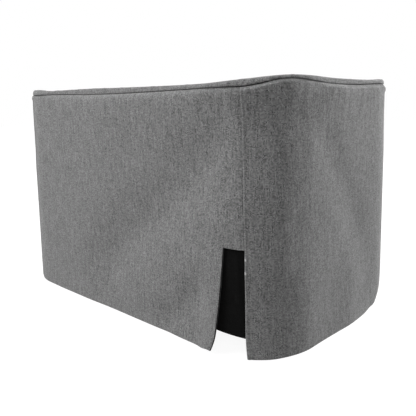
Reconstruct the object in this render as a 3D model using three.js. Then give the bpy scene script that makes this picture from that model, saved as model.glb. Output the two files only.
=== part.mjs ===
// A slip-on fabric dust cover for a tabletop speaker: a soft box with rounded upright corners, open
// below. The top panel is sewn to the walls with a turned seam. The walls are a back panel and one
// long strip that wraps round the two sides and the front, joined by upright seams on the two back
// corners. A slot for the speaker's cable is cut into the back panel beside one of these seams, and
// a black facing is sewn behind it.
//
// Millimetres, +Z up. X runs from side to side and Y from front to back, so the slot faces +Y. The
// hem lies on the plane z = 0, and the origin is below the middle of the top panel.
//
// A "place" is a distance round the plan outline at the top seam. It is 0 where the back-left
// corner begins on the back, and grows round the left side, the front and the right side. On the
// back it is negative.
import * as THREE from 'three';

// Driving sizes.
const WIDTH = 290; // side to side, at the top seam
const DEPTH = 178; // front to back, at the top seam
const CORNER = 46; // plan radius of the upright corners
const WALL_HEIGHT = 170; // hem to the top seam where it peaks
const HEM_SPREAD = 0.022; // how much larger the plan is at the hem, as a share
const CLOTH = 1.8; // thickness of the backed cloth
const GAP = 0.3; // between two sewn pieces

// The plan outline, as runs that follow each other.
const BACK_RUN = WIDTH - 2 * CORNER;
const SIDE_RUN = DEPTH - 2 * CORNER;
const CORNER_RUN = (CORNER * Math.PI) / 2;
const ROUND = 2 * (BACK_RUN + SIDE_RUN) + 4 * CORNER_RUN;

// The upright seams, a third of the way round each back corner.
const SEAM = CORNER_RUN / 3;
const FAR_SEAM = -BACK_RUN - SEAM;

// The cable slot, open at the hem, between its own edge and the seam.
const SLOT_EDGE = 10.6; // place of the slot's edge at its top
const SLOT_TOP = 70.3; // height of the slot
const SLOT_PULL = 6.4; // how far the slot's edge is drawn back at the hem
const SLOT_PULL_POWER = 1.2; // how much of that is near the hem
const SLOT_CURL = { pull: 2, height: 14 }; // how far its foot curls back further
const SLOT_FALL = 0.45; // how far the slot's top edge falls towards the seam
const FLAP = { flare: 4, power: 1.6, reach: 27, height: 80, lift: 2, liftReach: 16, liftHeight: 40 };
const SEAM_CURL = { pull: 1.2, height: 18 }; // the strip's edge at the slot's foot
const SEAM_LEAN = { pull: 2.2, low: 70, reach: 22 }; // the slot's seam drifts onto the back, above "low"

// The black facing behind the slot.
const FACING = { from: -1, to: 36, bottom: 13.2, top: 80, thickness: 1.2 };
const FACING_SLOPE = { middle: 13, fall: 0.11, bow: 0.4, reach: 14 }; // of its lower edge

// The top panel. Inside its rim it dips to a flat field, which lies on the speaker.
const FIELD_HEIGHT = 167; // upper face of the field
const FIELD_INSETS = [6, 12, 20, 28, 36]; // from the outline to the field's edge

// The top seam sags between the corners. "seam" is its height, and "rim" is the thickness of the
// top panel's turned edge above it.
const TOP_EDGE = [
  { place: -216, seam: 168.6, rim: 4.7 },
  { place: -200, seam: 168.3, rim: 4.1 },
  { place: -186, seam: 168.1, rim: 3.3 },
  { place: -171, seam: 167.8, rim: 3.4 },
  { place: -120, seam: 166.2, rim: 4.5 },
  { place: -83, seam: 165.7, rim: 4.1 },
  { place: -22, seam: 165.7, rim: 3.1 },
  { place: 0, seam: 166.0, rim: 2.9 },
  { place: 12, seam: 166.0, rim: 3.5 },
  { place: 24, seam: 166.0, rim: 4.3 },
  { place: 36, seam: 167.9, rim: 3.4 },
  { place: 43, seam: 169.5, rim: 2.4 },
  { place: 54, seam: 170.5, rim: 2.0 },
  { place: 75, seam: 169.3, rim: 3.1 },
  { place: 96, seam: 168.2, rim: 3.7 },
  { place: 129, seam: 168.4, rim: 3.6 },
  { place: 157, seam: 169.8, rim: 2.9 },
  { place: 177, seam: 170.0, rim: 3.8 },
  { place: 195, seam: 170.3, rim: 3.0 },
  { place: 240, seam: 168.4, rim: 3.1 },
  { place: 330, seam: 166.5, rim: 3.7 },
  { place: 420, seam: 168.2, rim: 3.0 },
  { place: 464, seam: 170.1, rim: 2.6 },
  { place: 545, seam: 168.0, rim: 3.2 },
  { place: 620, seam: 169.9, rim: 3.1 },
];

// Soft folds of the walls. Each follows a line of points [place, height]. "rise" is how far it
// stands out at its middle, or in where it is negative, and "width" is half its width.
const FOLDS = [
  { line: [[12, 144], [-6, 120], [-32, 96], [-60, 78], [-88, 58], [-108, 38]], width: 21, rise: -4.5 },
  { line: [[9, 156], [8, 140], [2, 124]], width: 10, rise: -1.4 },
  { line: [[-80, 126], [-20, 122]], width: 24, rise: -0.9 },
  { line: [[-95, 169], [-30, 169]], width: 36, rise: 2.2 },
  { line: [[-37, 13], [-29, 20], [-13, 36]], width: 10.5, rise: -2.5 },
  { line: [[-16, 13], [-15, 28]], width: 9, rise: -1.0 },
  { line: [[-30, -2], [-8, -2]], width: 10, rise: 0.7 },
  { line: [[-219, 159], [-219, 122]], width: 12, rise: -0.7 },
  { line: [[14, 146], [-2, 124]], width: 19, rise: 1.6 },
  { line: [[33, 95], [32, 64]], width: 19, rise: 2.6 },
  { line: [[24, -4], [38, -4]], width: 10, rise: 1.3 },
  { line: [[49, 138], [49, 105], [46, 55]], width: 9.5, rise: 1.4 },
  { line: [[90, 131], [103, 111], [117, 90], [128, 70]], width: 14, rise: -1.4 },
  { line: [[60, 152], [64, 168]], width: 18, rise: -2.6 },
  { line: [[20, 169], [150, 169]], width: 15, rise: 1.6 },
  { line: [[28, 168], [52, 168]], width: 12, rise: 1.6 },
  { line: [[102, 171], [102, 168]], width: 10, rise: 1.2 },
  { line: [[50, 112], [50, 84]], width: 34, rise: -2.0 },
  { line: [[120, 6], [122, 40]], width: 16, rise: 1.3 },
  { line: [[-172, -4], [-138, -4]], width: 22, rise: 0.8 },
  { line: [[104, -4], [150, -4]], width: 20, rise: 0.7 },
  { line: [[165, 112], [165, 34]], width: 25, rise: 0.7 },
  { line: [[160, -6], [190, -6]], width: 12, rise: -3.6 },
  { line: [[262, 140], [300, 70]], width: 16, rise: -1.5 },
  { line: [[330, 110], [352, 30]], width: 20, rise: 2.2 },
  { line: [[400, 130], [372, 70], [380, 20]], width: 17, rise: -1.6 },
  { line: [[522, 120], [548, 60]], width: 13, rise: -1.4 },
  { line: [[560, 110], [574, 30]], width: 13, rise: 1.2 },
  { line: [[638, 159], [638, 122]], width: 12, rise: -0.7 },
];
const FOLDS_END = { from: -3.2, to: 2 }; // folds die out between these heights, from the top seam

// Sections of the walls. Below the lip they are heights. In the lip, which turns into the seam,
// "drop" is measured down from the seam and "out" from the wall's own face.
const HEIGHTS = [0, 8, 20, 34, 48, 60, SLOT_TOP, 84, 100, 118, 138];
const WALL_LIP = [
  { drop: 11, out: -0.1 },
  { drop: 5, out: -0.25 },
  { drop: 2.4, out: -0.6 },
  { drop: 0.9, out: -1.2 },
  { drop: 0, out: -1.9 },
];

// The rim of the top panel, from the seam over its edge. "rise" is a share of the rim's thickness.
const TOP_RIM = [
  { rise: 0, out: -4.2 },
  { rise: 0, out: -1.9 },
  { rise: 0.03, out: -0.6 },
  { rise: 0.25, out: 0 },
  { rise: 0.73, out: -0.6 },
  { rise: 0.97, out: -1.7 },
];

const MATERIALS = {
  cloth: new THREE.MeshStandardMaterial({ color: 0x747474, roughness: 0.95, metalness: 0 }),
  facing: new THREE.MeshStandardMaterial({ color: 0x121212, roughness: 0.9, metalness: 0 }),
};

function smooth(from, to, value) {
  return THREE.MathUtils.smoothstep(value, from, to);
}

// Evenly spaced values, ends included.
function evenly(from, to, steps) {
  return Array.from({ length: steps + 1 }, (_, i) => from + ((to - from) * i) / steps);
}

// The point of the plan outline at a place, and its outward direction.
function outlineAt(place) {
  let along = THREE.MathUtils.euclideanModulo(place, ROUND);
  let heading = Math.PI / 2; // outward direction of the run's start, as an angle
  const straights = [SIDE_RUN, BACK_RUN, SIDE_RUN, BACK_RUN];
  const centre = new THREE.Vector2(-BACK_RUN / 2, SIDE_RUN / 2);
  for (const straight of straights) {
    if (along <= CORNER_RUN) {
      const out = new THREE.Vector2(1, 0).rotateAround(new THREE.Vector2(), heading + along / CORNER);
      return { out, point: centre.clone().addScaledVector(out, CORNER) };
    }
    heading += Math.PI / 2;
    along -= CORNER_RUN;
    const out = new THREE.Vector2(Math.cos(heading), Math.sin(heading));
    const onward = new THREE.Vector2(-out.y, out.x);
    if (along <= straight) {
      const point = centre.clone().addScaledVector(out, CORNER).addScaledVector(onward, along);
      return { out, point };
    }
    centre.addScaledVector(onward, straight);
    along -= straight;
  }
  return outlineAt(0);
}

// The row of TOP_EDGE that holds at a place, by a smooth curve through the rows on either side.
function topEdgeAt(place) {
  const first = TOP_EDGE[0].place;
  const at = first + THREE.MathUtils.euclideanModulo(place - first, ROUND);
  const last = TOP_EDGE.findLastIndex((row) => row.place <= at);
  const rows = [-1, 0, 1, 2].map((step) => {
    const index = last + step;
    const turns = Math.floor(index / TOP_EDGE.length);
    const row = TOP_EDGE[THREE.MathUtils.euclideanModulo(index, TOP_EDGE.length)];
    return { ...row, place: row.place + turns * ROUND };
  });
  const [before, start, end, after] = rows;
  const share = (at - start.place) / (end.place - start.place);
  const curve = (column) => {
    const startSlope = (end[column] - before[column]) / (end.place - before.place);
    const endSlope = (after[column] - start[column]) / (after.place - start.place);
    const span = end.place - start.place;
    const square = share * share;
    const cube = square * share;
    return (2 * cube - 3 * square + 1) * start[column] + (cube - 2 * square + share) * span * startSlope
      + (3 * square - 2 * cube) * end[column] + (cube - square) * span * endSlope;
  };
  return { seam: curve('seam'), rim: curve('rim') };
}

// How far a fold's line is from a place and height.
function distanceToLine(line, place, height) {
  const point = new THREE.Vector3(place, height, 0);
  const nearest = new THREE.Vector3();
  const distances = line.slice(1).map((end, i) => {
    const stretch = new THREE.Line3(
      new THREE.Vector3(line[i][0], line[i][1], 0),
      new THREE.Vector3(end[0], end[1], 0),
    );
    return stretch.closestPointToPoint(point, true, nearest).distanceTo(point);
  });
  return Math.min(...distances);
}

// How far the folds move the wall outwards.
function foldsAt(place, height) {
  const strength = 1 - smooth(FOLDS_END.from, FOLDS_END.to, height - topEdgeAt(place).seam);
  return FOLDS.reduce((sum, fold) => {
    const away = distanceToLine(fold.line, place, height) / fold.width;
    return sum + strength * fold.rise * Math.exp(-away * away);
  }, 0);
}

// How far the cloth drifts onto the back, near the slot's seam.
function seamLeanAt(place, height) {
  const share = Math.max(0, (height - SEAM_LEAN.low) / (WALL_HEIGHT - SEAM_LEAN.low));
  const away = (place - SEAM) / SEAM_LEAN.reach;
  return SEAM_LEAN.pull * share * Math.exp(-away * away);
}

// A point of the walls, "out" from their folded face.
function wallPoint(place, height, out) {
  const outline = outlineAt(place - seamLeanAt(place, height));
  const spread = 1 + HEM_SPREAD * (1 - height / WALL_HEIGHT);
  const plan = outline.point.clone().multiplyScalar(spread);
  plan.addScaledVector(outline.out, foldsAt(place, height) + out);
  return new THREE.Vector3(plan.x, plan.y, height);
}

// The height and the outward shift of a wall's section at a place. The sections of the lip follow
// the seam.
function sectionAt(row, place) {
  if (row < HEIGHTS.length) return { height: HEIGHTS[row], out: 0 };
  const lip = WALL_LIP[row - HEIGHTS.length];
  const over = place - seamLeanAt(place, WALL_HEIGHT); // where it meets the top panel
  return { height: topEdgeAt(over).seam - GAP / 2 - lip.drop, out: lip.out };
}

// The flap beside the slot: its edge is drawn back, flares out and lifts off the hem's plane. The
// slot's top edge falls a little towards the seam.
function flapPoint(place, height, out) {
  const low = Math.max(0, 1 - height / SLOT_TOP);
  const near = smooth(SLOT_EDGE - FLAP.reach, SLOT_EDGE, place);
  const opened = THREE.MathUtils.clamp((place - SLOT_EDGE) / FLAP.reach + 1, 0, 1) ** FLAP.power;
  const curl = SLOT_CURL.pull * Math.max(0, 1 - height / SLOT_CURL.height) ** 2;
  const pull = (SLOT_PULL * low ** SLOT_PULL_POWER + curl) * near;
  const flare = FLAP.flare * opened * Math.max(0, 1 - height / FLAP.height) ** 1.5;
  const corner = smooth(SLOT_EDGE - FLAP.liftReach, SLOT_EDGE, place);
  const lift = FLAP.lift * corner * Math.max(0, 1 - height / FLAP.liftHeight);
  const fall = SLOT_FALL * smooth(SLOT_EDGE, SEAM, place) * Math.exp(-(((height - SLOT_TOP) / 8) ** 2));
  const point = wallPoint(place - pull, height, out + flare);
  point.z += lift - fall;
  return point;
}

// The strip's edge, which curls back a little at the slot's foot.
function stripPoint(place, height, out) {
  const near = 1 - smooth(SEAM, SEAM + SEAM_CURL.height, place);
  const low = Math.max(0, 1 - height / SEAM_CURL.height);
  return wallPoint(place + SEAM_CURL.pull * near * low * low, height, out);
}

// A closed mesh from vertices that are made as they are needed and shared by the faces.
class Skin {
  constructor() {
    this.positions = [];
    this.faces = [];
    this.known = new Map();
  }

  vertex(key, makePoint) {
    if (!this.known.has(key)) {
      this.known.set(key, this.positions.length / 3);
      this.positions.push(...makePoint().toArray());
    }
    return this.known.get(key);
  }

  quad(a, b, c, d) {
    this.faces.push(a, b, c, a, c, d);
  }

  geometry() {
    const geometry = new THREE.BufferGeometry();
    geometry.setAttribute('position', new THREE.Float32BufferAttribute(this.positions, 3));
    geometry.setIndex(this.faces);
    geometry.computeVertexNormals();
    return geometry;
  }
}

// A sheet of an even thickness over a grid of cells, closed round its edges. "pointAt" gives the
// place of a grid point on the outer (side 0) or the inner (side 1) face.
function sheetGeometry(columns, rows, pointAt, hasCell = () => true) {
  const skin = new Skin();
  const inGrid = (i, j) => i >= 0 && j >= 0 && i < columns - 1 && j < rows - 1 && hasCell(i, j);
  const at = (i, j, side) => skin.vertex(`${i},${j},${side}`, () => pointAt(i, j, side));
  for (let i = 0; i < columns - 1; i++) {
    for (let j = 0; j < rows - 1; j++) {
      if (!inGrid(i, j)) continue;
      const corners = [[i, j], [i + 1, j], [i + 1, j + 1], [i, j + 1]];
      const outer = corners.map(([u, v]) => at(u, v, 0));
      const inner = corners.map(([u, v]) => at(u, v, 1));
      const neighbours = [[i, j - 1], [i + 1, j], [i, j + 1], [i - 1, j]];
      skin.quad(...outer);
      skin.quad(...inner.toReversed());
      neighbours.forEach(([u, v], edge) => {
        if (inGrid(u, v)) return;
        const next = (edge + 1) % 4;
        skin.quad(outer[next], outer[edge], inner[edge], inner[next]);
      });
    }
  }
  return skin.geometry();
}

// A wall panel between two seams, from the hem up into the top seam.
function wallGeometry(places, pointOn, hasCell) {
  const pointAt = (i, row, side) => {
    const section = sectionAt(row, places[i]);
    return pointOn(places[i], section.height, section.out - side * CLOTH);
  };
  return sheetGeometry(places.length, HEIGHTS.length + WALL_LIP.length, pointAt, hasCell);
}

// The places of the grid's columns, from one upright seam to the other.
const BACK_PLACES = [
  ...evenly(FAR_SEAM, -BACK_RUN, 3),
  ...evenly(-BACK_RUN, 0, 18).slice(1),
  ...evenly(0, SLOT_EDGE, 2).slice(1),
  ...evenly(SLOT_EDGE, SEAM, 3).slice(1),
];
const STRIP_RUNS = [
  { length: CORNER_RUN - SEAM, steps: 8 },
  { length: SIDE_RUN, steps: 8 },
  { length: CORNER_RUN, steps: 9 },
  { length: BACK_RUN, steps: 12 },
  { length: CORNER_RUN, steps: 9 },
  { length: SIDE_RUN, steps: 8 },
  { length: CORNER_RUN - SEAM, steps: 6 },
];
const STRIP_PLACES = STRIP_RUNS.reduce(
  (places, run) => [...places, ...evenly(places.at(-1), places.at(-1) + run.length, run.steps).slice(1)],
  [SEAM],
);

// The same places with the ends drawn in by half the gap, so that two panels don't touch.
function sewn(places) {
  return [places[0] + GAP / 2, ...places.slice(1, -1), places.at(-1) - GAP / 2];
}

function backPanel() {
  const places = sewn(BACK_PLACES);
  const slotColumn = places.indexOf(SLOT_EDGE);
  const slotRow = HEIGHTS.indexOf(SLOT_TOP);
  const hasCell = (i, j) => i < slotColumn || j >= slotRow;
  return wallGeometry(places, flapPoint, hasCell);
}

function wrapPanel() {
  return wallGeometry(sewn(STRIP_PLACES), stripPoint);
}

function slotFacing() {
  const beyond = STRIP_PLACES.filter((place) => place > SEAM && place < FACING.to);
  const places = [FACING.from, ...BACK_PLACES.filter((place) => place >= 0), ...beyond, FACING.to];
  const heights = [FACING.bottom, ...HEIGHTS.filter((h) => h > FACING.bottom && h < FACING.top), FACING.top];
  const lowerEdgeAt = (place) => {
    const along = place - FACING_SLOPE.middle;
    const bow = FACING_SLOPE.bow * (1 - (along / FACING_SLOPE.reach) ** 2);
    return FACING.bottom + bow - FACING_SLOPE.fall * along;
  };
  const outerFace = -CLOTH - GAP;
  const pointAt = (i, j, side) =>
    wallPoint(places[i], j === 0 ? lowerEdgeAt(places[i]) : heights[j], outerFace - side * FACING.thickness);
  return sheetGeometry(places.length, heights.length, pointAt);
}

// The top panel: rings of points that run from the field's underside, out to the rim, over it and
// back to the field's upper face, with both fields closed round a middle point.
function topPanel() {
  const places = [...BACK_PLACES.slice(0, -1), ...STRIP_PLACES.slice(0, -1)];
  const fieldEdge = FIELD_INSETS.at(-1);
  const fieldHeightAt = (place, inset) => {
    const edge = topEdgeAt(place);
    const rimHeight = edge.seam + GAP / 2 + edge.rim;
    return THREE.MathUtils.lerp(rimHeight, FIELD_HEIGHT, smooth(FIELD_INSETS[0], fieldEdge, inset));
  };
  const under = FIELD_INSETS.toReversed().map((inset) => (place) => (
    { out: -inset, height: fieldHeightAt(place, inset) - CLOTH }));
  const rim = TOP_RIM.map(({ rise, out }) => (place) => {
    const edge = topEdgeAt(place);
    return { out, height: edge.seam + GAP / 2 + rise * edge.rim };
  });
  const over = FIELD_INSETS.map((inset) => (place) => (
    { out: -inset, height: fieldHeightAt(place, inset) }));
  const rings = [...under, ...rim, ...over];

  const skin = new Skin();
  const at = (i, ring) => {
    const column = i % places.length;
    return skin.vertex(`${column},${ring}`, () => {
      const { out, height } = rings[ring](places[column]);
      const outline = outlineAt(places[column]);
      const plan = outline.point.clone().addScaledVector(outline.out, out);
      return new THREE.Vector3(plan.x, plan.y, height);
    });
  };
  const underMiddle = skin.vertex('under', () => new THREE.Vector3(0, 0, FIELD_HEIGHT - CLOTH));
  const overMiddle = skin.vertex('over', () => new THREE.Vector3(0, 0, FIELD_HEIGHT));
  const last = rings.length - 1;
  for (let i = 0; i < places.length; i++) {
    for (let ring = 0; ring < last; ring++) {
      skin.quad(at(i, ring), at(i + 1, ring), at(i + 1, ring + 1), at(i, ring + 1));
    }
    skin.faces.push(at(i + 1, 0), at(i, 0), underMiddle);
    skin.faces.push(at(i, last), at(i + 1, last), overMiddle);
  }
  return skin.geometry();
}

function piece(name, geometry, material) {
  const mesh = new THREE.Mesh(geometry, material);
  mesh.name = name;
  return mesh;
}

const cover = new THREE.Group();
cover.add(
  piece('top_panel', topPanel(), MATERIALS.cloth),
  piece('back_panel', backPanel(), MATERIALS.cloth),
  piece('wrap_panel', wrapPanel(), MATERIALS.cloth),
  piece('slot_facing', slotFacing(), MATERIALS.facing),
);
export default cover;
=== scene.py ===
"""Looks of a slip-on fabric dust cover for a tabletop speaker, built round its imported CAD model.

The shape functions work in millimetres in the CAD's frame: X from side to side, Y from front to back
(the cable slot faces +Y), Z up, with the hem on z = 0. Meshes are in metres.

A "place" is a distance round the plan outline at the top seam. It is 0 where the back-left corner
begins on the back, and grows round the left side, the front and the right side. On the back it is
negative.
"""

import math

import bpy
import numpy as np
from mathutils import Matrix, Vector


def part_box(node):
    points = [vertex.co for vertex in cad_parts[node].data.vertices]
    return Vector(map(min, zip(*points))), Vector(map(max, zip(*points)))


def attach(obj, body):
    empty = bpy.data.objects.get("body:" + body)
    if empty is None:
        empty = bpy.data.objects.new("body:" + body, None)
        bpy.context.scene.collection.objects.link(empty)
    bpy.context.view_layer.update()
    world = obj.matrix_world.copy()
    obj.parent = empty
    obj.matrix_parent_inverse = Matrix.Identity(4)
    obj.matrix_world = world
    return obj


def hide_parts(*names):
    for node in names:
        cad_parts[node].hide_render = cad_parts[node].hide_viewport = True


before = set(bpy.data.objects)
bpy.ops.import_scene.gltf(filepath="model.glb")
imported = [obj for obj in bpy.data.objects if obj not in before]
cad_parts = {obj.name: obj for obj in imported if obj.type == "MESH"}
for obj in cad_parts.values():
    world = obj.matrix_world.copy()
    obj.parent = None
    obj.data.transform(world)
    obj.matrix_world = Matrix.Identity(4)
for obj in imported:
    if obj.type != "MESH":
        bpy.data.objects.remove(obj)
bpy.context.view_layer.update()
MM = 0.001

# Sizes read from the frame, in millimetres.
TOP_LOW, TOP_HIGH = (np.array(corner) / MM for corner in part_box("top_panel"))
WIDTH, DEPTH = (TOP_HIGH - TOP_LOW)[:2]
MIDDLE = (TOP_HIGH + TOP_LOW)[:2] / 2

# Sizes that the CAD model also has.
CORNER = 46.0  # plan radius of the upright corners
WALL_HEIGHT = 170.0
HEM_SPREAD = 0.022  # how much larger the plan is at the hem, as a share
CLOTH = 1.8  # thickness of the backed cloth
GAP = 0.3  # between two sewn pieces

BACK_RUN = WIDTH - 2 * CORNER
SIDE_RUN = DEPTH - 2 * CORNER
CORNER_RUN = CORNER * math.pi / 2
ROUND = 2 * (BACK_RUN + SIDE_RUN) + 4 * CORNER_RUN
SEAM = CORNER_RUN / 3
FAR_SEAM = -BACK_RUN - SEAM

# The cable slot, open at the hem, between its own edge and the seam.
SLOT_EDGE = 10.6  # place of the slot's edge at its top
SLOT_TOP = 70.3  # height of the slot
SLOT_PULL = 6.4  # how far the slot's edge is drawn back at the hem
SLOT_PULL_POWER = 1.2  # how that grows towards the hem
SLOT_CURL = dict(pull=2.0, height=14.0)  # how far its foot curls back further
SLOT_FALL = 0.45  # how far the slot's top edge falls towards the seam
SLOT_FALL_REACH = 8.0  # above and below the slot's top
SEAM_CURL = dict(pull=1.2, reach=18.0)  # the strip's edge is drawn away from the slot's foot
SEAM_LEAN = dict(pull=2.2, low=70.0, reach=22.0)  # the slot's seam drifts onto the back, above "low"

# The flap of the back panel beside the slot.
FLAP = dict(
    flare=4.0,  # how far its edge stands out at the hem
    power=1.6,  # how that grows towards the slot
    fade=1.5,  # how that grows towards the hem
    reach=27.0,  # how wide the flap is
    height=80.0,  # how high the flap is
    lift=2.0,  # how far its lower corner is off the ground
    lift_reach=16.0,  # how far from the slot that starts
    lift_height=40.0,  # how high up the wall that reaches
)

# The black facing behind the slot.
FACING = dict(start=-1.0, end=36.0, bottom=13.2, top=80.0, thickness=1.2)
FACING_SLOPE = dict(middle=13.0, fall=0.11, bow=0.4, reach=14.0)  # of its lower edge
FACING_EDGE = 0.4  # how much its edges are rounded

# The top panel. Inside its rim it dips to a flat field, which lies on the speaker.
FIELD_HEIGHT = 167.0  # upper face of the field
FIELD_INSET = (6.0, 36.0)  # the rim turns into the field between these distances from the outline

# The top seam sags between the corners: (place, height of the seam, thickness of the rim above it,
# how far out the rim's widest line is, gap between the rim and the wall).
TOP_EDGE = [
    (-216, 168.6, 4.7, -0.9, 0.06),
    (-200, 168.3, 4.1, -0.9, 0.15),
    (-186, 168.1, 3.3, -1.9, 0.26),
    (-171, 167.8, 3.4, -2.2, 0.32),
    (-120, 166.2, 4.5, -2.2, 0.33),
    (-83, 165.7, 4.1, -2.1, 0.35),
    (-22, 165.7, 3.1, -1.7, 0.34),
    (0, 166.0, 2.9, -1.0, 0.14),
    (12, 166.0, 3.5, -0.4, 0.3),
    (24, 166.0, 4.3, -0.1, 0.42),
    (36, 167.9, 3.4, -0.2, 0.4),
    (43, 169.5, 2.4, -0.5, 0.15),
    (54, 170.5, 2.0, -0.9, 0.04),
    (75, 169.3, 3.1, -1.4, 0.1),
    (96, 168.2, 3.7, -1.6, 0.26),
    (129, 168.4, 3.6, -1.4, 0.32),
    (157, 169.8, 2.9, -0.8, 0.12),
    (177, 170.0, 3.8, -0.7, 0.06),
    (195, 170.3, 3.0, -0.6, 0.1),
    (240, 168.4, 3.1, -1.0, 0.15),
    (330, 166.5, 3.7, -1.4, 0.2),
    (420, 168.2, 3.0, -1.3, 0.2),
    (464, 170.1, 2.6, -1.0, 0.15),
    (545, 168.0, 3.2, -1.4, 0.2),
    (620, 169.9, 3.1, -0.8, 0.12),
]

# Soft folds of the walls: (points of its line as place and height, half width, rise).
FOLDS = [
    ([(12, 144), (-6, 120), (-32, 96), (-60, 78), (-88, 58), (-108, 38)], 21, -4.5),
    ([(9, 156), (8, 140), (2, 124)], 10, -1.4),
    ([(-80, 126), (-20, 122)], 24, -0.9),
    ([(-95, 169), (-30, 169)], 36, 2.2),
    ([(-37, 13), (-29, 20), (-13, 36)], 10.5, -2.5),
    ([(-16, 13), (-15, 28)], 9, -1.0),
    ([(-30, -2), (-8, -2)], 10, 0.7),
    ([(-219, 159), (-219, 122)], 12, -0.7),
    ([(14, 146), (-2, 124)], 19, 1.6),
    ([(33, 95), (32, 64)], 19, 2.6),
    ([(24, -4), (38, -4)], 10, 1.3),
    ([(49, 138), (49, 105), (46, 55)], 9.5, 1.4),
    ([(90, 131), (103, 111), (117, 90), (128, 70)], 14, -1.4),
    ([(60, 152), (64, 168)], 18, -2.6),
    ([(20, 169), (150, 169)], 15, 1.6),
    ([(28, 168), (52, 168)], 12, 1.6),
    ([(102, 171), (102, 168)], 10, 1.2),
    ([(50, 112), (50, 84)], 34, -2.0),
    ([(120, 6), (122, 40)], 16, 1.3),
    ([(-172, -4), (-138, -4)], 22, 0.8),
    ([(104, -4), (150, -4)], 20, 0.7),
    ([(165, 112), (165, 34)], 25, 0.7),
    ([(160, -6), (190, -6)], 12, -3.6),
    ([(262, 140), (300, 70)], 16, -1.5),
    ([(330, 110), (352, 30)], 20, 2.2),
    ([(400, 130), (372, 70), (380, 20)], 17, -1.6),
    ([(522, 120), (548, 60)], 13, -1.4),
    ([(560, 110), (574, 30)], 13, 1.2),
    ([(638, 159), (638, 122)], 12, -0.7),
]
FOLDS_END = (-3.2, 2.0)  # folds die out between these heights, from the top seam


# ---------------------------------------------------------------- shape


def smooth(start, end, value):
    """0 up to the start, 1 from the end on, and a smooth rise between them."""
    share = np.clip((value - start) / (end - start), 0.0, 1.0)
    return share * share * (3.0 - 2.0 * share)


def waves(rows, place):
    """The sum of some waves along the outline: (length, start, height) of each."""
    return sum(height * np.sin(place * 2 * math.pi / length + start) for length, start, height in rows)


def outline(place):
    """Points of the plan outline at the top seam and their outward directions."""
    place = np.asarray(place, float)
    along = np.mod(place, ROUND)
    point = np.zeros(place.shape + (2,))
    out = np.zeros(place.shape + (2,))
    heading, passed = math.pi / 2, 0.0
    centre = np.array([-BACK_RUN / 2, SIDE_RUN / 2])
    for straight in (SIDE_RUN, BACK_RUN, SIDE_RUN, BACK_RUN):
        here = (along >= passed) & (along <= passed + CORNER_RUN)
        angle = heading + (along[here] - passed) / CORNER
        out[here] = np.stack([np.cos(angle), np.sin(angle)], -1)
        point[here] = centre + out[here] * CORNER
        heading += math.pi / 2
        passed += CORNER_RUN
        facing = np.array([math.cos(heading), math.sin(heading)])
        onward = np.array([-facing[1], facing[0]])
        here = (along > passed) & (along <= passed + straight)
        out[here] = facing
        point[here] = centre + facing * CORNER + (along[here] - passed)[:, None] * onward
        centre = centre + onward * straight
        passed += straight
    return point + MIDDLE, out


def top_edge(place):
    """The columns of TOP_EDGE at a place, by a smooth curve through its rows."""
    rows = np.array(TOP_EDGE, float)
    turns = [rows + np.array([turn * ROUND, 0, 0, 0, 0]) for turn in (-1, 0, 1)]
    knots = np.concatenate(turns)
    at = rows[0, 0] + np.mod(np.asarray(place, float) - rows[0, 0], ROUND)
    i = np.clip(np.searchsorted(knots[:, 0], at, side="right") - 1, 1, len(knots) - 3)
    before, start, end, after = (knots[i + step] for step in (-1, 0, 1, 2))
    span = end[..., 0] - start[..., 0]
    share = (at - start[..., 0]) / span
    values = []
    for column in (1, 2, 3, 4):
        start_slope = (end[..., column] - before[..., column]) / (end[..., 0] - before[..., 0])
        end_slope = (after[..., column] - start[..., column]) / (after[..., 0] - start[..., 0])
        values.append(
            (2 * share**3 - 3 * share**2 + 1) * start[..., column]
            + (share**3 - 2 * share**2 + share) * span * start_slope
            + (3 * share**2 - 2 * share**3) * end[..., column]
            + (share**3 - share**2) * span * end_slope
        )
    return values


def distance_to_line(line, place, height):
    """How far a place and height are from a line of points."""
    nearest = np.full(np.broadcast(place, height).shape, np.inf)
    for (x0, y0), (x1, y1) in zip(line, line[1:]):
        dx, dy = x1 - x0, y1 - y0
        share = ((place - x0) * dx + (height - y0) * dy) / (dx * dx + dy * dy)
        share = np.clip(share, 0.0, 1.0)
        nearest = np.minimum(nearest, np.hypot(place - x0 - share * dx, height - y0 - share * dy))
    return nearest


def folds(place, height):
    """How far the folds move the wall outwards."""
    rise = np.zeros(np.broadcast(place, height).shape)
    for line, width, depth in FOLDS:
        rise += depth * np.exp(-((distance_to_line(line, place, height) / width) ** 2))
    return rise * (1.0 - smooth(*FOLDS_END, height - top_edge(place)[0]))


def seam_lean(place, height):
    """How far the cloth drifts onto the back, near the slot's seam."""
    share = np.clip((height - SEAM_LEAN["low"]) / (WALL_HEIGHT - SEAM_LEAN["low"]), 0.0, None)
    near = np.exp(-(((place - SEAM) / SEAM_LEAN["reach"]) ** 2))
    return SEAM_LEAN["pull"] * share * near


def wall_point(place, height, out):
    """Points of the walls, "out" from their folded face."""
    point, facing = outline(place - seam_lean(place, height))
    spread = 1.0 + HEM_SPREAD * (1.0 - height / WALL_HEIGHT)
    plan = (point - MIDDLE) * spread[..., None] + MIDDLE
    plan = plan + facing * (folds(place, height) + out)[..., None]
    return np.concatenate([plan, height[..., None]], -1)


# ---------------------------------------------------------------- meshes

# Between the lines of a wall's mesh.
STEP = 2.0
FINE_STEP = 1.5
COARSE_STEP = 2.4
EDGE_STEPS = [0.0, 0.1, 0.25, 0.45, 0.7, 1.0, 1.4, 2.0, 2.8]  # the closest lines' distances from an edge
TINY = 1e-6


def evenly(start, end, step):
    """Values from start to end, about step apart."""
    return np.linspace(start, end, max(1, math.ceil((end - start) / step)) + 1)


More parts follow.
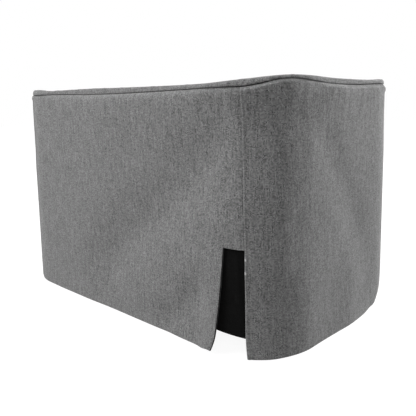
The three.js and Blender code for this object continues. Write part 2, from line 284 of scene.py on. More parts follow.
def graded(start, end, step, ends=(True, True)):
    """Values from start to end, about step apart, and closer at the ends that are marked."""
    low = [start + near for near in EDGE_STEPS] if ends[0] else [start]
    high = [end - near for near in EDGE_STEPS[::-1]] if ends[1] else [end]
    return np.concatenate([low[:-1], evenly(low[-1], high[0], step), high[1:]])


def joined(*runs):
    """Runs of values that follow each other, without the values they share."""
    return np.concatenate([runs[0], *(run[1:] for run in runs[1:])])


def make_object(name, points, faces, face_slots, uv, materials):
    """A smooth-shaded mesh object, from points and the cloth's own (u, v) in millimetres."""
    mesh = bpy.data.meshes.new(name)
    mesh.from_pydata((points * MM).tolist(), [], faces.tolist())
    mesh.polygons.foreach_set("use_smooth", np.ones(len(faces), bool))
    mesh.polygons.foreach_set("material_index", face_slots.astype(np.int32))
    layer = mesh.uv_layers.new(name="weave")
    layer.uv.foreach_set("vector", (uv[faces.ravel()] * MM).astype(np.float32).ravel())
    for material in materials:
        mesh.materials.append(material)
    mesh.update()
    mesh.validate()
    obj = bpy.data.objects.new(name, mesh)
    bpy.context.scene.collection.objects.link(obj)
    return obj


def sheet_object(name, outer, inner, uv, has_cell, shaded_cells, materials):
    """A closed sheet over a grid of cells. It has the first material on its outer face and its upper
    edges, and the second one elsewhere; on the cut edges its near-black is both the backing and painted
    shade. The cells marked in the mask after has_cell have the second one too, as painted shade."""
    columns, rows = outer.shape[:2]
    index = np.arange(columns * rows).reshape(columns, rows)
    count = columns * rows

    def corners(cells, shift=0):
        i, j = cells
        return np.stack(
            [index[i, j], index[i + 1, j], index[i + 1, j + 1], index[i, j + 1]], -1
        ) + shift

    cells = np.nonzero(has_cell)
    front = corners(cells)
    back = corners(cells, count)[:, ::-1]
    padded = np.zeros((columns + 1, rows + 1), bool)
    padded[1:-1, 1:-1] = has_cell
    rims, rim_slots = [], []
    neighbours = [(0, -1), (1, 0), (0, 1), (-1, 0)]
    upper = 2  # the number of a cell's upper edge
    for edge, (di, dj) in enumerate(neighbours):
        beyond = padded[1 + di : columns + di, 1 + dj : rows + dj]
        open_cells = np.nonzero(has_cell & ~beyond)
        ring = corners(open_cells)
        a, b = ring[:, edge], ring[:, (edge + 1) % 4]
        rims.append(np.stack([b, a, a + count, b + count], -1))
        rim_slots.append(np.full(len(a), 0 if edge == upper else 1))
    rim = np.concatenate(rims)
    faces = np.concatenate([front, back, rim])
    slots = np.concatenate([shaded_cells[cells], np.ones(len(back)), *rim_slots])
    points = np.concatenate([outer.reshape(-1, 3), inner.reshape(-1, 3)])
    flat = np.concatenate([uv.reshape(-1, 2)] * 2)
    used, faces = np.unique(faces, return_inverse=True)
    return make_object(name, points[used], faces.reshape(-1, 4), slots, flat[used], materials)


def edge_round(distance, radius):
    """How far a face draws in, this near a cut edge that is rounded by this radius."""
    short = np.clip(radius - distance, 0.0, radius)
    return radius - np.sqrt(radius * radius - short * short)


# ---------------------------------------------------------------- materials

# Each cloth's look: the distance from one yarn to the next, the grey of its darkest and lightest
# yarns, the share of that between the yarns and on their crowns (painted shade between the yarns and a
# faint painted highlight on their crowns), the roughness of its darkest and lightest yarns, and the
# height of its relief in metres.
COVER_LOOK = dict(
    yarn=0.64,
    grey=(0.02, 0.35),
    relief=(0.62, 1.06),
    roughness=(0.95, 0.82),
    sheen=0.25,
    specular=0.15,
    bump=0.00012,
)
FACING_LOOK = dict(
    yarn=0.4,
    grey=(0.001, 0.003),
    relief=(0.6, 1.1),
    roughness=(0.9, 0.8),
    sheen=0.02,
    specular=0.08,
    bump=0.00008,
)
BACKING_LOOK = dict(
    grey=(0.008, 0.022),
    roughness=(0.98, 0.9),
    sheen=0.1,
    specular=0.15,
    bump=0.0003,
)
SHEEN_ROUGHNESS = 0.5
NAP = 1.4  # how often the backing's nap changes, per mm

YARN_DIP = 0.6  # share of its height that a yarn loses where it passes under another
YARN_APART = 5.37  # between the yarns' places in the noise, so that no two are alike
CROWN = 0.8  # a yarn's full grey starts at this height, and it is darker lower down, as painted shade
TONES = (0.3, 0.7)  # the range that the tones of most yarns are in

# The cover's yarns sway, and they change in tone from yarn to yarn and along each yarn.
SWAY = dict(amount=0.5, along=0.12, across=0.35)
COVER_CHANGES = dict(warp=0.09, weft=0.25, slub=0.8)  # how often the tone changes along a yarn, per mm
COVER_UNEVEN = dict(run=0.75, slub=0.4, fleck=0.4)  # how much each kind of change counts
WARP_SHARE = (0.4, 0.85)  # of the warp's tone, under the weft and over it
RELIEF_TONE = 0.5  # how much higher a light yarn's relief is than a dark one's
FACING_CHANGES = dict(warp=0.2, weft=0.3)

# Thread ends at the strip's folded edge, beside the slot: (place, height, radius).
THREAD_ENDS = [(SEAM + 0.2, 64.4, 1.1), (SEAM + 0.2, 55.9, 1.2)]
THREAD_CORE = 0.4  # share of the radius that has the full tone
THREAD_LIGHT = 0.4  # how much lighter they are


class Nodes:
    """Builds one material's nodes. Numbers stand for themselves, and sockets are linked."""

    def __init__(self, name):
        self.material = bpy.data.materials.new(name)
        self.material.use_nodes = True
        self.tree = self.material.node_tree
        self.shader = self.tree.nodes["Principled BSDF"]

    def put(self, socket, value):
        if isinstance(value, bpy.types.NodeSocket):
            self.tree.links.new(value, socket)
        else:
            socket.default_value = value

    def math(self, operation, a, b=0.0, c=0.0):
        node = self.tree.nodes.new("ShaderNodeMath")
        node.operation = operation
        for socket, value in zip(node.inputs, (a, b, c)):
            self.put(socket, value)
        return node.outputs[0]

    def spread(self, value, low, high, new_low, new_high):
        """A value's range mapped to another, and held there."""
        node = self.tree.nodes.new("ShaderNodeMapRange")
        for socket, number in zip(node.inputs, (value, low, high, new_low, new_high)):
            self.put(socket, number)
        return node.outputs[0]

    def weave_place(self):
        """The cloth's own place across and up, in millimetres."""
        node = self.tree.nodes.new("ShaderNodeUVMap")
        node.uv_map = "weave"
        split = self.tree.nodes.new("ShaderNodeSeparateXYZ")
        self.put(split.inputs[0], node.outputs[0])
        return [self.math("MULTIPLY", split.outputs[k], 1 / MM) for k in (0, 1)]

    def pair(self, x, y):
        """Two values as a vector."""
        join = self.tree.nodes.new("ShaderNodeCombineXYZ")
        self.put(join.inputs[0], x)
        self.put(join.inputs[1], y)
        return join.outputs[0]

    def noise(self, x, y, detail=1.0):
        """Soft noise from about 0 to 1 over two values, with features about one unit wide."""
        node = self.tree.nodes.new("ShaderNodeTexNoise")
        node.noise_dimensions = "2D"
        self.put(node.inputs["Vector"], self.pair(x, y))
        node.inputs["Scale"].default_value = 1.0
        node.inputs["Detail"].default_value = detail
        return node.outputs[0]

    def stretched_noise(self, x, x_scale, y, y_scale):
        """Noise with features of a different length along each value."""
        return self.noise(self.math("MULTIPLY", x, x_scale), self.math("MULTIPLY", y, y_scale))

    def fleck(self, x, y):
        """A value from 0 to 1 that is different at each pair of whole numbers."""
        node = self.tree.nodes.new("ShaderNodeTexWhiteNoise")
        node.noise_dimensions = "2D"
        self.put(node.inputs["Vector"], self.pair(x, y))
        return node.outputs["Value"]

    def mix(self, share, a, b):
        """From value a to value b by a share."""
        return self.math("MULTIPLY_ADD", share, self.math("SUBTRACT", b, a), a)

    def grey(self, value):
        """A grey of this brightness."""
        join = self.tree.nodes.new("ShaderNodeCombineColor")
        for socket in join.inputs:
            self.put(socket, value)
        return join.outputs[0]

    def bump(self, height, distance):
        node = self.tree.nodes.new("ShaderNodeBump")
        node.inputs["Strength"].default_value = 1.0
        node.inputs["Distance"].default_value = distance
        self.put(node.inputs["Height"], height)
        self.put(self.shader.inputs["Normal"], node.outputs[0])

    def cloth(self, value, roughness, relief, look):
        """The shader of a cloth, from the values that vary and its table of looks."""
        self.put(self.shader.inputs["Base Color"], self.grey(value))
        self.put(self.shader.inputs["Roughness"], roughness)
        self.shader.inputs["Specular IOR Level"].default_value = look["specular"]
        self.shader.inputs["Sheen Weight"].default_value = look["sheen"]
        self.shader.inputs["Sheen Roughness"].default_value = SHEEN_ROUGHNESS
        self.bump(relief, look["bump"])


def plain_weave(n, x, y, pitch):
    """Which yarn is on top, its crown, and the numbers of the yarns, in a plain weave."""
    along, up = n.math("DIVIDE", x, pitch), n.math("DIVIDE", y, pitch)
    warp, weft = n.math("FLOOR", along), n.math("FLOOR", up)
    over = n.math("FLOORED_MODULO", n.math("ADD", warp, weft), 2.0)
    across, upward = (
        n.math("COSINE", n.math("MULTIPLY", n.math("SUBTRACT", n.math("FRACT", yarns), 0.5), math.pi))
        for yarns in (along, up)
    )
    crown = n.mix(
        over,
        n.math("MULTIPLY", upward, n.math("MULTIPLY_ADD", across, YARN_DIP, 1.0 - YARN_DIP)),
        n.math("MULTIPLY", across, n.math("MULTIPLY_ADD", upward, YARN_DIP, 1.0 - YARN_DIP)),
    )
    return over, crown, warp, weft


def thread_ends(n, x, y):
    """1 on a thread end, and 0 away from them."""
    total = 0.0
    for place, height, radius in THREAD_ENDS:
        across = n.math("POWER", n.math("SUBTRACT", x, place), 2.0)
        upward = n.math("POWER", n.math("SUBTRACT", y, height), 2.0)
        away = n.math("SQRT", n.math("ADD", across, upward))
        total = n.math("ADD", n.spread(away, THREAD_CORE * radius, radius, 1.0, 0.0), total)
    return total


def cover_tone(n, x, y, over, warp, weft):
    """How light each yarn of the cover is along its length, about 0.5 on average."""
    warp_run = n.stretched_noise(warp, YARN_APART, y, COVER_CHANGES["warp"])
    weft_run = n.stretched_noise(x, COVER_CHANGES["weft"], weft, YARN_APART)
    run = n.mix(n.spread(over, 0.0, 1.0, *WARP_SHARE), weft_run, warp_run)
    slub = n.stretched_noise(warp, YARN_APART, y, COVER_CHANGES["slub"])
    fleck = n.fleck(warp, weft)
    tone = 0.5
    for kind, change in (("run", run), ("slub", slub), ("fleck", fleck)):
        tone = n.math("MULTIPLY_ADD", n.math("SUBTRACT", change, 0.5), COVER_UNEVEN[kind], tone)
    return tone


def melange_cloth():
    """Grey plain weave of uneven, slubby yarns in lighter and darker tones."""
    n, look = Nodes("cover_cloth"), COVER_LOOK
    x, y = n.weave_place()
    along, across = SWAY["along"], SWAY["across"]
    swayed_x = n.math("MULTIPLY_ADD", n.stretched_noise(x, across, y, along), SWAY["amount"], x)
    swayed_y = n.math("MULTIPLY_ADD", n.stretched_noise(x, along, y, across), SWAY["amount"], y)
    over, crown, warp, weft = plain_weave(n, swayed_x, swayed_y, look["yarn"])
    tone = cover_tone(n, x, y, over, warp, weft)
    value = n.spread(tone, 0.0, 1.0, *look["grey"])
    # Darker between the yarns and lighter on their crowns: painted shade and highlight of the weave's
    # relief.
    value = n.math("MULTIPLY", value, n.spread(crown, 0.0, CROWN, *look["relief"]))
    value = n.math("MULTIPLY_ADD", thread_ends(n, x, y), THREAD_LIGHT, value)
    relief = n.math("MULTIPLY_ADD", tone, RELIEF_TONE, crown)
    n.cloth(value, n.spread(tone, *TONES, *look["roughness"]), relief, look)
    return n.material


def backing_cloth():
    """Near-black fleecy backing, also used as painted shade on the outer face near the cut edges."""
    n, look = Nodes("cloth_backing"), BACKING_LOOK
    x, y = n.weave_place()
    nap = n.noise(n.math("MULTIPLY", x, NAP), n.math("MULTIPLY", y, NAP), detail=3.0)
    value = n.spread(nap, 0.25, 0.75, *look["grey"])
    n.cloth(value, n.spread(nap, *TONES, *look["roughness"]), nap, look)
    return n.material


def black_cloth():
    """Close black plain weave."""
    n, look = Nodes("black_facing"), FACING_LOOK
    x, y = n.weave_place()
    over, crown, warp, weft = plain_weave(n, x, y, look["yarn"])
    warp_tone = n.stretched_noise(warp, YARN_APART, y, FACING_CHANGES["warp"])
    weft_tone = n.stretched_noise(x, FACING_CHANGES["weft"], weft, YARN_APART)
    tone = n.mix(over, weft_tone, warp_tone)
    value = n.spread(tone, *TONES, *look["grey"])
    # Darker between the yarns and lighter on their crowns: painted shade and highlight of the weave's
    # relief.
    value = n.math("MULTIPLY", value, n.spread(crown, 0.0, CROWN, *look["relief"]))
    n.cloth(value, n.spread(tone, *TONES, *look["roughness"]), crown, look)
    return n.material


FACE = melange_cloth()
BACKING = backing_cloth()
BLACK = black_cloth()


# ---------------------------------------------------------------- walls

EDGE_RADIUS = 0.55  # of the cut edges
EDGE_SHADE = 0.25  # the outer face this near a cut edge has the backing's near-black, as painted shade under the rounded edge
BACK_FOLD = 0.25  # radius of the back panel's edge at the upright seams
STRIP_FOLD = dict(radius=0.8, sewn=0.4, change=3.0)  # of the strip's edge, beside the slot and above it

# Where the lip stands out further: (place, half width, rise, its drop below the seam, half height).
LIP_BULGES = [
    (-219, 8, 1.2, 1.7, 2.2),
    (177, 11, 1.15, 2.1, 3.2),
    (44, 24, 0.44, 1.6, 1.0),
    (110, 45, 0.2, 2.0, 1.1),
]
LIP = dict(lean=2.1, reach=1.8, slope=0.4, slope_reach=5.0)  # the walls' top edge leans into the seam
STITCHED_GAP = 0.04  # between the back panel and the strip along the upright seams

# The back panel's edge sinks into the upright seams, by the share "low" below the change of height.
SEAM_DIP = dict(depth=0.65, width=1.5, low=0.4, change=(130.0, 146.0))

# The strip's folded edge stands up beside them, and falls off at a different rate on either side.
SEAM_RIDGE = dict(rise=0.6, start=0.8, near=0.7, far=1.2, low=0.7, change=(90.0, 120.0))

# Small waves along the top seam. They start at a drop below it and are full at another.
PUCKER = dict(reach=16.0, start=0.6, full=3.5)
PUCKER_WAVES = [(13.0, 0.9, 0.13), (8.3, 2.1, 0.13), (21.0, 0.0, 0.104)]

# The rows of a wall's mesh: even ones up to a height, then these distances below the top seam.
EVEN_ROWS_END = 150.0
LIP_DROPS = [
    11, 9.5, 8, 7, 6, 5.2, 4.5, 3.9, 3.3, 2.8,
    2.3, 1.9, 1.5, 1.2, 0.9, 0.6, 0.35, 0.15, 0.04, 0,
]


def puckers(place, drop):
    """Small waves of the cloth along the top seam."""
    wave = waves(PUCKER_WAVES, place)
    fade = np.exp(-drop / PUCKER["reach"]) * smooth(PUCKER["start"], PUCKER["full"], drop)
    return wave * fade


def wall_grid(places):
    """Place, height and drop below the top seam of each point of a wall's grid."""
    even = joined(
        graded(0.0, SLOT_TOP, STEP),
        graded(SLOT_TOP, EVEN_ROWS_END, STEP, ends=(True, False)),
    )
    over = places - seam_lean(places, np.full(len(places), WALL_HEIGHT))  # where they meet the top panel
    seam, _, _, gap = top_edge(over)
    seam = seam - gap / 2
    even_rows = np.repeat(even[None], len(places), 0)
    lip_rows = seam[:, None] - np.array(LIP_DROPS)
    heights = np.concatenate([even_rows, lip_rows], 1)
    place = np.repeat(places[:, None], heights.shape[1], 1)
    return place, heights, seam[:, None] - heights


def lip_out(place, drop):
    """Outward shift of the walls' face near the top seam."""
    drop = np.maximum(drop, 0.0)
    out = -LIP["lean"] * np.exp(-drop / LIP["reach"]) - LIP["slope"] * np.exp(-drop / LIP["slope_reach"])
    for at, reach, rise, middle, half in LIP_BULGES:
        away = np.mod(place - at + ROUND / 2, ROUND) - ROUND / 2
        out += rise * np.exp(-((away / reach) ** 2) - ((drop - middle) / half) ** 4)
    return out


def flap_shape(place, height):
    """How far the flap beside the slot is drawn back along the wall, stands out and is lifted."""
    low = np.maximum(0.0, 1.0 - height / SLOT_TOP)
    near = smooth(SLOT_EDGE - FLAP["reach"], SLOT_EDGE, place)
    curl = SLOT_CURL["pull"] * np.maximum(0.0, 1.0 - height / SLOT_CURL["height"]) ** 2
    pull = (SLOT_PULL * low**SLOT_PULL_POWER + curl) * near
    opened = np.clip((place - SLOT_EDGE) / FLAP["reach"] + 1.0, 0.0, 1.0) ** FLAP["power"]
    flare = FLAP["flare"] * opened * np.maximum(0.0, 1.0 - height / FLAP["height"]) ** FLAP["fade"]
    corner = smooth(SLOT_EDGE - FLAP["lift_reach"], SLOT_EDGE, place)
    lift = FLAP["lift"] * corner * np.maximum(0.0, 1.0 - height / FLAP["lift_height"])
    beside_top = np.exp(-(((height - SLOT_TOP) / SLOT_FALL_REACH) ** 2))
    return pull, flare, lift - SLOT_FALL * smooth(SLOT_EDGE, SEAM, place) * beside_top


def seam_dip(height, seam_edge):
    """How far the back panel sinks into its upright seams. It sinks less low down."""
    dip = SEAM_DIP["depth"] * np.exp(-((seam_edge / SEAM_DIP["width"]) ** 2))
    return dip * (SEAM_DIP["low"] + (1.0 - SEAM_DIP["low"]) * smooth(*SEAM_DIP["change"], height))


def seam_ridge(height, seam_edge):
    """How far the strip's folded edge stands up beside its upright seams. It is lower low down."""
    from_ridge = seam_edge - SEAM_RIDGE["start"]
    from_ridge = from_ridge / np.where(from_ridge > 0, SEAM_RIDGE["far"], SEAM_RIDGE["near"])
    ridge = SEAM_RIDGE["rise"] * np.exp(-(from_ridge**2))
    return ridge * (SEAM_RIDGE["low"] + (1.0 - SEAM_RIDGE["low"]) * smooth(*SEAM_RIDGE["change"], height))


def distance_to_cut(place, height):
    """How far a place of the back panel is from its hem or the slot's edges."""
    past_slot = (place > SLOT_EDGE + TINY) & (height > SLOT_TOP - TINY)
    to_slot = np.where(past_slot, height - SLOT_TOP, SLOT_EDGE - place)
    above = (height > SLOT_TOP) & ~past_slot
    to_slot = np.where(above, np.hypot(to_slot, height - SLOT_TOP), to_slot)
    return np.minimum(height, np.maximum(to_slot, 0.0))


def back_wall():
    """The back panel, with the slot at one end."""
    places = joined(
        graded(FAR_SEAM + STITCHED_GAP / 2, -BACK_RUN, STEP, ends=(True, False)),
        evenly(-BACK_RUN, 0.0, STEP),
        graded(0.0, SLOT_EDGE, FINE_STEP, ends=(False, True)),
        graded(SLOT_EDGE, SEAM - STITCHED_GAP / 2, FINE_STEP),
    )
    place, height, drop = wall_grid(places)
    seam_edge = np.minimum(place - places[0], places[-1] - place)
    to_cut = distance_to_cut(place, height)
    pull, flare, lift = flap_shape(place, height)
    shape = lip_out(place, drop) + puckers(place, drop) + flare - seam_dip(height, seam_edge)
    rounded = edge_round(to_cut, EDGE_RADIUS) + edge_round(seam_edge, BACK_FOLD)
    outer = wall_point(place - pull, height, shape - rounded)
    inner = wall_point(place - pull, height, shape + rounded - CLOTH)
    outer[..., 2] += lift
    inner[..., 2] += lift
    slot_column = int(np.argmin(abs(places - SLOT_EDGE)))
    slot_row = int(np.argmin(abs(height[0] - SLOT_TOP)))
    has_cell = np.ones((len(places) - 1, height.shape[1] - 1), bool)
    has_cell[slot_column:, :slot_row] = False
    # Cells this near the hem or the slot's edges take the backing's near-black: painted shade under the
    # rounded edge.
    edge_shade = np.minimum(to_cut[:-1, :-1], to_cut[1:, 1:]) < EDGE_SHADE
    uv = np.stack([place, height], -1)
    return sheet_object("back_cloth", outer, inner, uv, has_cell, edge_shade, [FACE, BACKING])


# The strip's runs along the outline, and the step of its columns: (length, step).
STRIP_RUNS = [
    (CORNER_RUN - SEAM, STEP),
    (SIDE_RUN, STEP),
    (CORNER_RUN, STEP),
    (BACK_RUN, COARSE_STEP),
    (CORNER_RUN, COARSE_STEP),
    (SIDE_RUN, COARSE_STEP),
    (CORNER_RUN - SEAM, STEP),
]


def strip_places():
    """The places of the strip's columns, closer together at its two ends."""
    ends = np.cumsum([SEAM] + [run for run, _ in STRIP_RUNS])
    last = len(STRIP_RUNS) - 1
    spans = [
        graded(start, end, step, ends=(number == 0, number == last))
        for number, (start, end, (_, step)) in enumerate(zip(ends, ends[1:], STRIP_RUNS))
    ]
    places = joined(*spans)
    places[0] += STITCHED_GAP / 2
    places[-1] -= STITCHED_GAP / 2
    return places


def wrap_wall():
    """The strip that goes round the two sides and the front."""
    places = strip_places()
    place, height, drop = wall_grid(places)
    near = 1.0 - smooth(SEAM, SEAM + SEAM_CURL["reach"], place)
    low = np.maximum(0.0, 1.0 - height / SEAM_CURL["reach"])
    pull = SEAM_CURL["pull"] * near * low * low
    seam_edge = np.minimum(place - places[0], places[-1] - place)
    above_slot = smooth(SLOT_TOP, SLOT_TOP + STRIP_FOLD["change"], height)
    fold = STRIP_FOLD["radius"] - (STRIP_FOLD["radius"] - STRIP_FOLD["sewn"]) * above_slot
    shape = lip_out(place, drop) + puckers(place, drop) + seam_ridge(height, seam_edge)
    rounded = edge_round(height, EDGE_RADIUS) + edge_round(seam_edge, fold)
    outer = wall_point(place + pull, height, shape - rounded)
    inner = wall_point(place + pull, height, shape + rounded - CLOTH)
    has_cell = np.ones((len(places) - 1, height.shape[1] - 1), bool)
    # Cells this near the hem take the backing's near-black: painted shade under the rounded edge.
    edge_shade = np.minimum(height[:-1, :-1], height[1:, 1:]) < EDGE_SHADE
    uv = np.stack([place, height], -1)
    return sheet_object("wrap_cloth", outer, inner, uv, has_cell, edge_shade, [FACE, BACKING])


# Small creases of the facing: (points of its line as place and height, half width, rise).
FACING_FOLDS = [
    ([(19, 63), (20, 38)], 2.2, 0.6),
    ([(13.6, 62), (15, 46)], 2.0, 0.5),
    ([(21, 40), (21.5, 22)], 1.8, 0.4),
]


def facing_piece():
    """The facing, a gap behind the walls' inner face."""
    places = graded(FACING["start"], FACING["end"], FINE_STEP)
    heights = graded(FACING["bottom"], FACING["top"], FINE_STEP)
    place, height = np.meshgrid(places, heights, indexing="ij")
    share = (heights[-1] - height) / (heights[-1] - heights[0])
    along = place - FACING_SLOPE["middle"]
    bow = FACING_SLOPE["bow"] * (1.0 - (along / FACING_SLOPE["reach"]) ** 2)
    fallen = height + (bow - FACING_SLOPE["fall"] * along) * share
    to_edge = np.minimum.reduce(
        [place - places[0], places[-1] - place, height - heights[0], heights[-1] - height]
    )
    rounded = edge_round(to_edge, FACING_EDGE)
    face = np.full(place.shape, -CLOTH - GAP)
    for line, width, rise in FACING_FOLDS:
        face += rise * np.exp(-((distance_to_line(line, place, height) / width) ** 2))
    outer = wall_point(place, fallen, face - rounded)
    inner = wall_point(place, fallen, face + rounded - FACING["thickness"])
    has_cell = np.ones((len(places) - 1, len(heights) - 1), bool)
    uv = np.stack([place, height], -1)
    return sheet_object("facing_cloth", outer, inner, uv, has_cell, ~has_cell, [BLACK, BLACK])


# ---------------------------------------------------------------- top

# The rim's section leaves the seam at "root" out. It is widest below its middle, where it droops,
# and it is squarer than an ellipse where "square" is below 1.
RIM = dict(root=-3.2, droop=2.0, square=0.7, points=19)
UNDER_INSET = 4.2  # where the underside meets the seam
RIM_STEP = 0.8  # between the rings from the rim to where the field starts
TOP_CLOTH = (0.0, 500.0)  # where the top was cut from the cloth, clear of the walls' places
TOP_COLUMNS = 480  # round the outline

# Small waves inside the rim: (length, start, height). They grow and fade between these insets.
RIM_WAVES = [(17.0, 0.0, 0.12), (11.0, 1.0, 0.12)]
RIM_WAVES_START = (1.0, 5.0)
RIM_WAVES_END = (6.0, 24.0)


def field_height(place, inset):
    """Upper face of the top panel, inset from the outline."""
    seam, rim, _, _ = top_edge(place)
    edge = seam + rim
    share = smooth(*FIELD_INSET, inset)
    strength = smooth(*RIM_WAVES_START, inset) * (1.0 - smooth(*RIM_WAVES_END, inset))
    return edge + (FIELD_HEIGHT - edge) * share + waves(RIM_WAVES, place) * strength


def top_rings(places):
    """Rings of the top panel as their outward distances and heights, and how many are below its rim.

    They run from the field's underside out to the rim, over it and back to the field's upper face.
    """
    seam, rim, rim_out, gap = top_edge(places)
    low = seam + gap / 2
    rim = rim - gap / 2
    insets = joined(evenly(-RIM["root"], FIELD_INSET[0], RIM_STEP), evenly(*FIELD_INSET, STEP))
    rings = [
        (np.full(len(places), -inset), field_height(places, inset) - CLOTH)
        for inset in insets[::-1]
        if inset > UNDER_INSET
    ]
    rings.append((np.full(len(places), -UNDER_INSET), low))
    below_rim = len(rings)
    for angle in np.linspace(-math.pi / 2, math.pi / 2, RIM["points"]):
        height = low + rim * ((1.0 + math.sin(angle)) / 2) ** RIM["droop"]
        share = max(0.0, math.cos(angle)) ** RIM["square"]
        rings.append((RIM["root"] * (1.0 - share) + rim_out * share, height))
    rings += [(np.full(len(places), -inset), field_height(places, inset)) for inset in insets[1:]]
    return rings, below_rim


def field_strips(ring):
    """Faces that close a ring of points, as strips between its two halves."""
    half = len(ring) // 2
    near, far = ring[:half], ring[: half - 1 : -1]
    return np.stack([near[:-1], near[1:], far[1:], far[:-1]], -1)


def top_piece():
    """The top panel, with its rim above the top seam."""
    places = np.linspace(0.0, ROUND, TOP_COLUMNS, endpoint=False)
    rings, below_rim = top_rings(places)
    point, facing = outline(places)
    grid = np.stack(
        [np.concatenate([point + facing * out[:, None], height[:, None]], -1) for out, height in rings], 1
    )
    columns, count = grid.shape[:2]
    index = np.arange(columns * count).reshape(columns, count)
    onward = np.roll(index, -1, 0)
    sides = np.stack([index[:, :-1], onward[:, :-1], onward[:, 1:], index[:, 1:]], -1).reshape(-1, 4)
    side_slots = np.zeros((columns, count - 1))
    side_slots[:, :below_rim] = 1
    over = field_strips(index[:, -1])
    under = field_strips(index[:, 0])[:, ::-1]
    faces = np.concatenate([sides, over, under])
    slots = np.concatenate([side_slots.ravel(), np.zeros(len(over)), np.ones(len(under))])
    outs = np.stack([out for out, _ in rings], 1)
    steps = np.hypot(np.diff(outs, axis=1), np.diff(grid[..., 2], axis=1))
    rolled = np.concatenate([np.cumsum(steps[:, ::-1], 1)[:, ::-1], np.zeros((columns, 1))], 1)
    uv = (point[:, None] + facing[:, None] * (rolled - FIELD_INSET[1])[..., None]).reshape(-1, 2)
    return make_object("top_cloth", grid.reshape(-1, 3), faces, slots, uv + TOP_CLOTH, [FACE, BACKING])


# ---------------------------------------------------------------- stage

# The camera stands outside the slot's corner, a little lower than the top.
CAMERA_PLACE = (-303.2, 306.3, 152.2)
CAMERA_TURN = (136.74, 11.09, 0.95)  # heading, dip and roll in degrees
CAMERA_SENSOR = 36.0
CAMERA_LENS = 42.58
CAMERA_CLIP = (0.01, 100.0)

# Soft square lamps: (name, angle from +X, rise, distance in metres, size in metres, power).
LAMPS = [
    ("left_lamp", 60, 18, 1.2, 0.8, 7.9),
    ("high_lamp", 45, 55, 1.3, 0.9, 12.5),
    ("front_lamp", 135, 20, 1.2, 0.8, 5.6),
    ("right_lamp", 246, 18, 1.2, 0.8, 19.5),
    ("high_right_lamp", 225, 60, 1.3, 0.9, 4.0),
]
ROOM_LIGHT = 0.05

FLOOR_HALF = 6.0
FLOOR_DROP = 0.0005  # below the hem
FLOOR_COLOUR = (0.2, 0.2, 0.2, 1)
FLOOR_GLOW = 0.92  # under the object. It rises to 1 between these distances from the middle.
FLOOR_GLOW_REACH = (0.3, 1.2)
WHITE = (1, 1, 1, 1)


def place_camera():
    heading, dip, roll = (math.radians(angle) for angle in CAMERA_TURN)
    ahead = Vector((math.sin(heading) * math.cos(dip), math.cos(heading) * math.cos(dip), -math.sin(dip)))
    right = Vector((math.cos(heading), -math.sin(heading), 0.0))
    down = ahead.cross(right)
    right, down = (
        math.cos(roll) * right + math.sin(roll) * down,
        -math.sin(roll) * right + math.cos(roll) * down,
    )
    turn = Matrix((right, -down, -ahead)).transposed()
    data = bpy.data.cameras.new("camera")
    data.sensor_width = CAMERA_SENSOR
    data.lens = CAMERA_LENS
    data.clip_start, data.clip_end = CAMERA_CLIP
    camera = bpy.data.objects.new("camera", data)
    camera.matrix_world = Matrix.Translation(Vector(CAMERA_PLACE) * MM) @ turn.to_4x4()
    bpy.context.scene.collection.objects.link(camera)
    bpy.context.scene.camera = camera


def place_lamp(name, turn, rise, distance, size, power):
    """A lamp that faces the object's middle."""
    turn, rise = math.radians(turn), math.radians(rise)
    away = Vector((math.cos(turn) * math.cos(rise), math.sin(turn) * math.cos(rise), math.sin(rise)))
    data = bpy.data.lights.new(name, "AREA")
    data.shape = "SQUARE"
    data.size = size
    data.energy = power
    lamp = bpy.data.objects.new(name, data)
    lamp.location = Vector((0.0, 0.0, WALL_HEIGHT * MM / 2)) + away * distance
    lamp.rotation_euler = away.to_track_quat("Z", "Y").to_euler()
    bpy.context.scene.collection.objects.link(lamp)


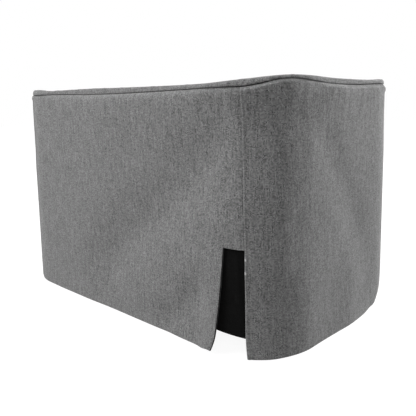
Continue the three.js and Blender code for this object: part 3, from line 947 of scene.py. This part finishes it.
def floor_material():
    """Grey where lamps light it, so that it has shadows, and with a glow that only the camera sees."""
    n = Nodes("floor")
    tree = n.tree
    tree.nodes.remove(n.shader)
    lit = tree.nodes.new("ShaderNodeBsdfDiffuse")
    lit.inputs["Color"].default_value = FLOOR_COLOUR
    glow = tree.nodes.new("ShaderNodeEmission")
    rays = tree.nodes.new("ShaderNodeLightPath")
    spot = tree.nodes.new("ShaderNodeTexCoord")
    far = tree.nodes.new("ShaderNodeVectorMath")
    far.operation = "LENGTH"
    n.put(far.inputs[0], spot.outputs["Object"])
    level = n.spread(far.outputs["Value"], *FLOOR_GLOW_REACH, FLOOR_GLOW, 1.0)
    n.put(glow.inputs["Strength"], n.math("MULTIPLY", rays.outputs["Is Camera Ray"], level))
    both = tree.nodes.new("ShaderNodeAddShader")
    n.put(both.inputs[0], lit.outputs[0])
    n.put(both.inputs[1], glow.outputs[0])
    n.put(tree.nodes["Material Output"].inputs["Surface"], both.outputs[0])
    return n.material


def make_floor():
    """A floor just below the hem, white to the camera."""
    mesh = bpy.data.meshes.new("floor")
    half = FLOOR_HALF
    ring = [(-half, -half, 0), (half, -half, 0), (half, half, 0), (-half, half, 0)]
    mesh.from_pydata(ring, [], [(0, 1, 2, 3)])
    mesh.materials.append(floor_material())
    floor = bpy.data.objects.new("floor", mesh)
    floor.location.z = -FLOOR_DROP
    bpy.context.scene.collection.objects.link(floor)


def make_world():
    """White behind the object and in reflections, and a faint light on the object."""
    world = bpy.data.worlds.new("studio")
    bpy.context.scene.world = world
    world.use_nodes = True
    nodes, links = world.node_tree.nodes, world.node_tree.links
    room = nodes["Background"]
    room.inputs["Color"].default_value = WHITE
    room.inputs["Strength"].default_value = ROOM_LIGHT
    white = nodes.new("ShaderNodeBackground")
    white.inputs["Color"].default_value = WHITE
    white.inputs["Strength"].default_value = 1.0
    rays = nodes.new("ShaderNodeLightPath")
    either = nodes.new("ShaderNodeMath")
    either.operation = "MAXIMUM"
    mix = nodes.new("ShaderNodeMixShader")
    links.new(rays.outputs["Is Camera Ray"], either.inputs[0])
    links.new(rays.outputs["Is Glossy Ray"], either.inputs[1])
    links.new(either.outputs[0], mix.inputs[0])
    links.new(room.outputs[0], mix.inputs[1])
    links.new(white.outputs[0], mix.inputs[2])
    links.new(mix.outputs[0], nodes["World Output"].inputs["Surface"])


# ---------------------------------------------------------------- scene

bpy.context.scene.view_settings.view_transform = "Standard"
place_camera()

top = top_piece()
back = back_wall()
wrap = wrap_wall()
facing = facing_piece()

for obj, node, slot in (
    (top, "top_panel", "cover_cloth"),
    (back, "back_panel", "cover_cloth"),
    (wrap, "wrap_panel", "cover_cloth"),
    (facing, "slot_facing", "black_facing"),
):
    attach(obj, "root")
    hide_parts(node)

make_floor()
make_world()
for lamp in LAMPS:
    place_lamp(*lamp)
